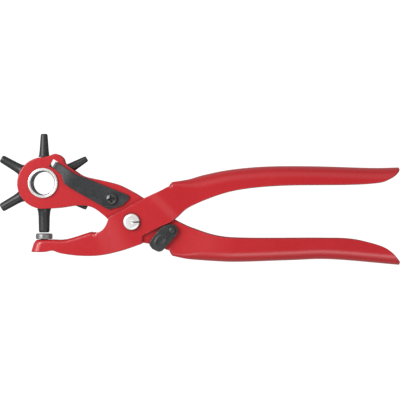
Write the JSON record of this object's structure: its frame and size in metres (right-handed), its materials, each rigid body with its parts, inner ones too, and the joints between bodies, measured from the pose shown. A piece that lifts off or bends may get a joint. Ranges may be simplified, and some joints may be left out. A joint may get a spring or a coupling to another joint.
{
  "type": "rotary hole punch",
  "caption": "Revolving punch pliers folded from sheet steel: a turret of hollow tubes turns on a hub, closes on a round anvil, and is held by a leaf spring.",
  "frame": {"origin": "on the jaw pivot's axis, at the flat rear end of the pivot nut, which the tool rests on when it lies on its back", "axes": "+X from the pivot to the handle ends, +Y from the wheel arm's handle to the anvil arm's handle, +Z out of the front plate, along the jaw pivot, the hub and the catch rivet"},
  "size_m": [0.2206, 0.0725, 0.0191],
  "materials": {
    "red_coat": "smooth semi-gloss powder coat",
    "black_oxide": "black oxide on steel, oiled, satin",
    "nickel_plate": "bright nickel plate",
    "ground_steel": "turned and ground",
    "plain_steel": "plain"
  },
  "bodies": {
    "wheel_arm_body": {"wheel_arm": "red_coat", "index_spring": "black_oxide", "index_spring_screw": "black_oxide", "index_spring_spacer": "plain_steel", "pivot_sleeve": "plain_steel", "opening_spring": "plain_steel", "catch_rivet": "black_oxide", "catch_washer": "plain_steel"},
    "anvil_arm_body": {"anvil_arm": "red_coat", "anvil": "ground_steel", "pivot_screw": "nickel_plate", "pivot_nut": "nickel_plate"},
    "turret": {"turret_wheel": "black_oxide", "hub_rivet": "nickel_plate", "punch_tube_2_0mm": "black_oxide", "punch_tube_2_5mm": "black_oxide", "punch_tube_3_0mm": "black_oxide", "punch_tube_3_5mm": "black_oxide", "punch_tube_4_0mm": "black_oxide", "punch_tube_5_0mm": "black_oxide"},
    "catch": {"catch_lever": "black_oxide"}
  },
  "joints": [
    {"name": "jaw_hinge", "type": "hinge", "parent": "wheel_arm_body", "child": "anvil_arm_body", "pos_m": [0, 0, 0.009], "axis": [0, 0, 1], "range_deg": [0, 20], "stiffness_Nm_per_rad": 0.6, "springref_deg": 60.16, "deforming": ["opening_spring"]},
    {"name": "turret_spin", "type": "hinge", "parent": "wheel_arm_body", "child": "turret", "pos_m": [-0.0487, 0.0212, 0.009], "axis": [0, 0, 1], "continuous": true, "deforming": ["index_spring"]},
    {"name": "catch_swing", "type": "hinge", "parent": "wheel_arm_body", "child": "catch", "pos_m": [0.0221, -0.0046, 0.009], "axis": [0, 0, 1], "range_deg": [0, 30]}
  ]
}
